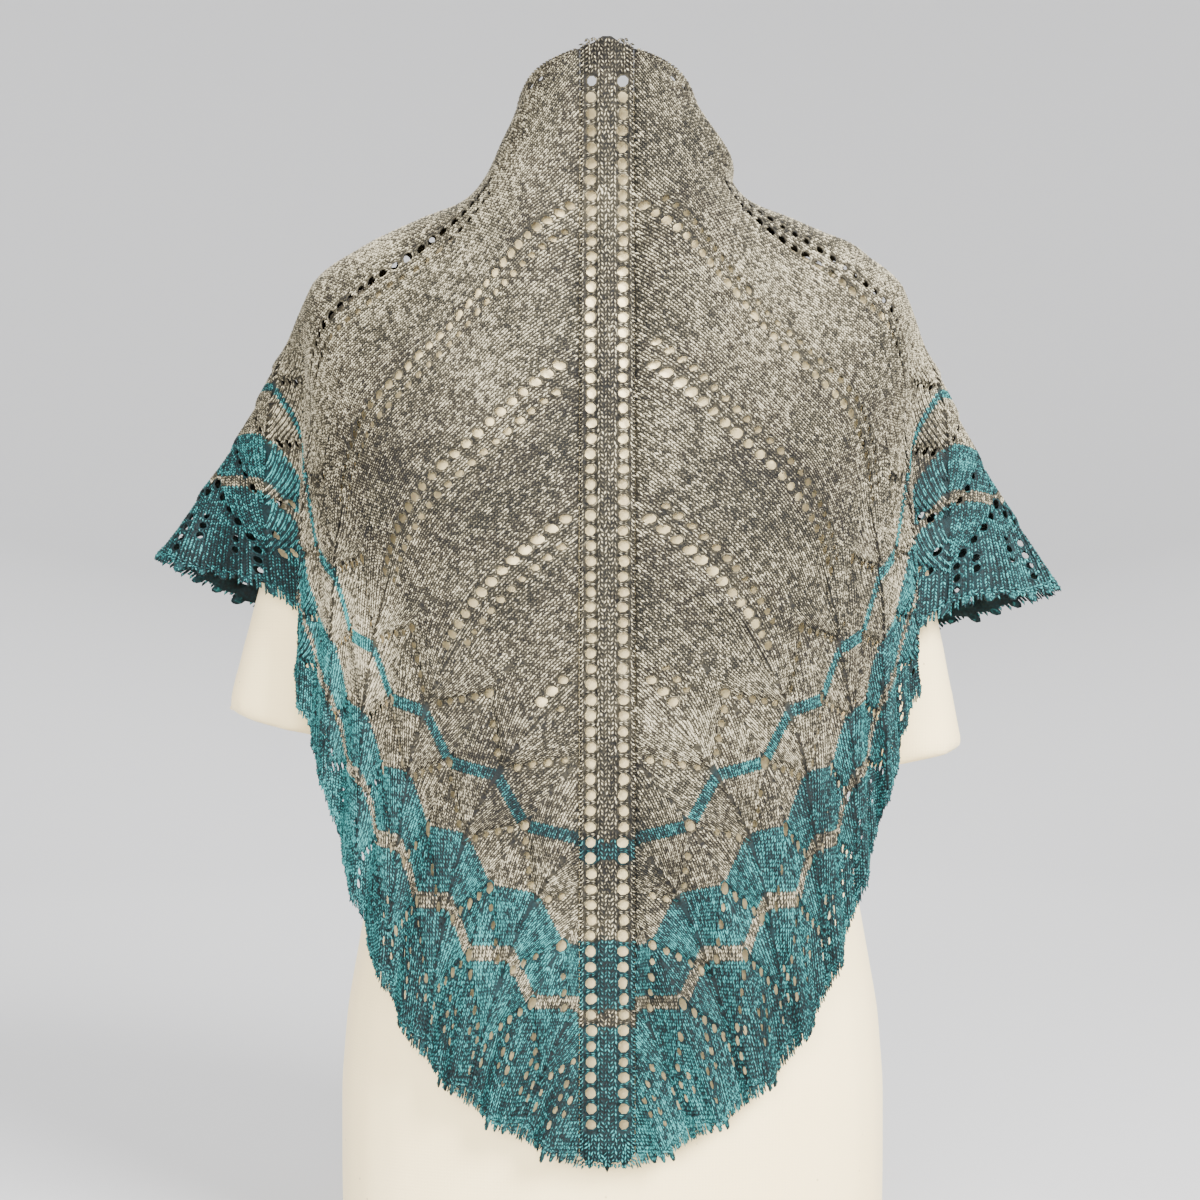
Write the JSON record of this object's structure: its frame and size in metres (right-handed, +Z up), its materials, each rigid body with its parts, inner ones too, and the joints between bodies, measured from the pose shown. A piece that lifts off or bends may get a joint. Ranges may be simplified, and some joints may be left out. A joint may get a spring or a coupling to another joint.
{
  "type": "knitted lace shawl on a dress form",
  "caption": "Triangular hand-knitted lace shawl with a ruffled leaf border, draped over the shoulders of a limbless dress form.",
  "frame": {"origin": "centre of the whole box on the plane that the dress form stands on", "axes": "+Z up, +Y from the wearer's back to the front, so the back of the shawl faces -Y"},
  "size_m": [0.6336, 0.2628, 0.8256],
  "materials": {
    "grey_marl_yarn": "marled silk and wool yarn",
    "grey_to_teal_yarn": "marled silk and wool yarn",
    "teal_yarn": "marled silk and wool yarn",
    "unbleached_calico": "plain woven cotton"
  },
  "bodies": {
    "root": {"spine_panel": "grey_marl_yarn", "body_left": "grey_marl_yarn", "body_right": "grey_marl_yarn", "leaf_border_left": "grey_to_teal_yarn", "leaf_border_right": "grey_to_teal_yarn", "edging_left": "teal_yarn", "edging_right": "teal_yarn", "dress_form": "unbleached_calico"}
  },
  "joints": []
}
